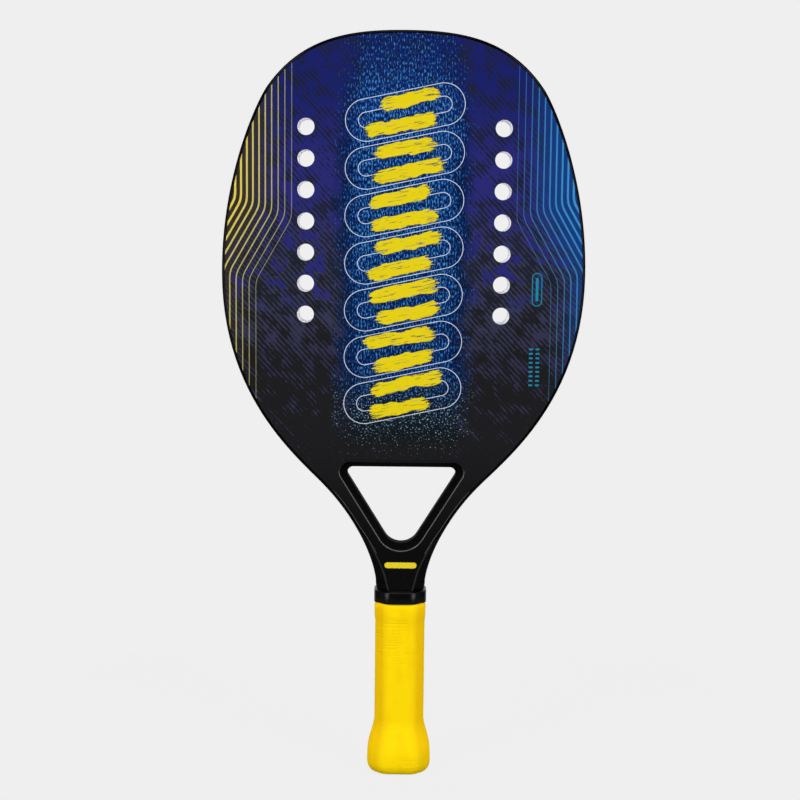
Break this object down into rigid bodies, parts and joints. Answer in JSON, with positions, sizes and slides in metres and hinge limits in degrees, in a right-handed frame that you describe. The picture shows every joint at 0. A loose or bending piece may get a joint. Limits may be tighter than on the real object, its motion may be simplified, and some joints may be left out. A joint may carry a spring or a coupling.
{
  "type": "beach tennis racket",
  "caption": "Rounded solid-faced racket with a column of round holes on each side, an open triangular throat and a short padded grip with a flared butt.",
  "frame": {"origin": "middle of the butt cap's end face", "axes": "+Z along the handle towards the head, -Y out of the front face, +X to the right seen from the front"},
  "size_m": [0.24, 0.0376, 0.5],
  "materials": {
    "frame_fibreglass": "satin black moulded fibreglass",
    "painted_laminate": "satin paint over fibreglass laminate",
    "eva_foam": "fine closed-cell foam",
    "pu_foam": "rigid foam",
    "cap_nylon": "moulded nylon",
    "staple_steel": "zinc plated wire",
    "cushion_foam": "soft foam",
    "cloth_tape": "woven adhesive tape",
    "grip_leather": "matt synthetic leather",
    "collar_rubber": "satin rubber"
  },
  "bodies": {
    "root": {"frame_tube": "frame_fibreglass", "throat_bridge": "frame_fibreglass", "throat_gusset": "frame_fibreglass", "front_skin": "painted_laminate", "back_skin": "painted_laminate", "foam_core": "eva_foam", "handle_core": "pu_foam", "butt_cap": "cap_nylon", "butt_staple_front": "staple_steel", "butt_staple_back": "staple_steel", "grip_cushion": "cushion_foam", "cushion_tape": "cloth_tape", "grip_sleeve": "grip_leather", "grip_collar": "collar_rubber"}
  },
  "joints": []
}
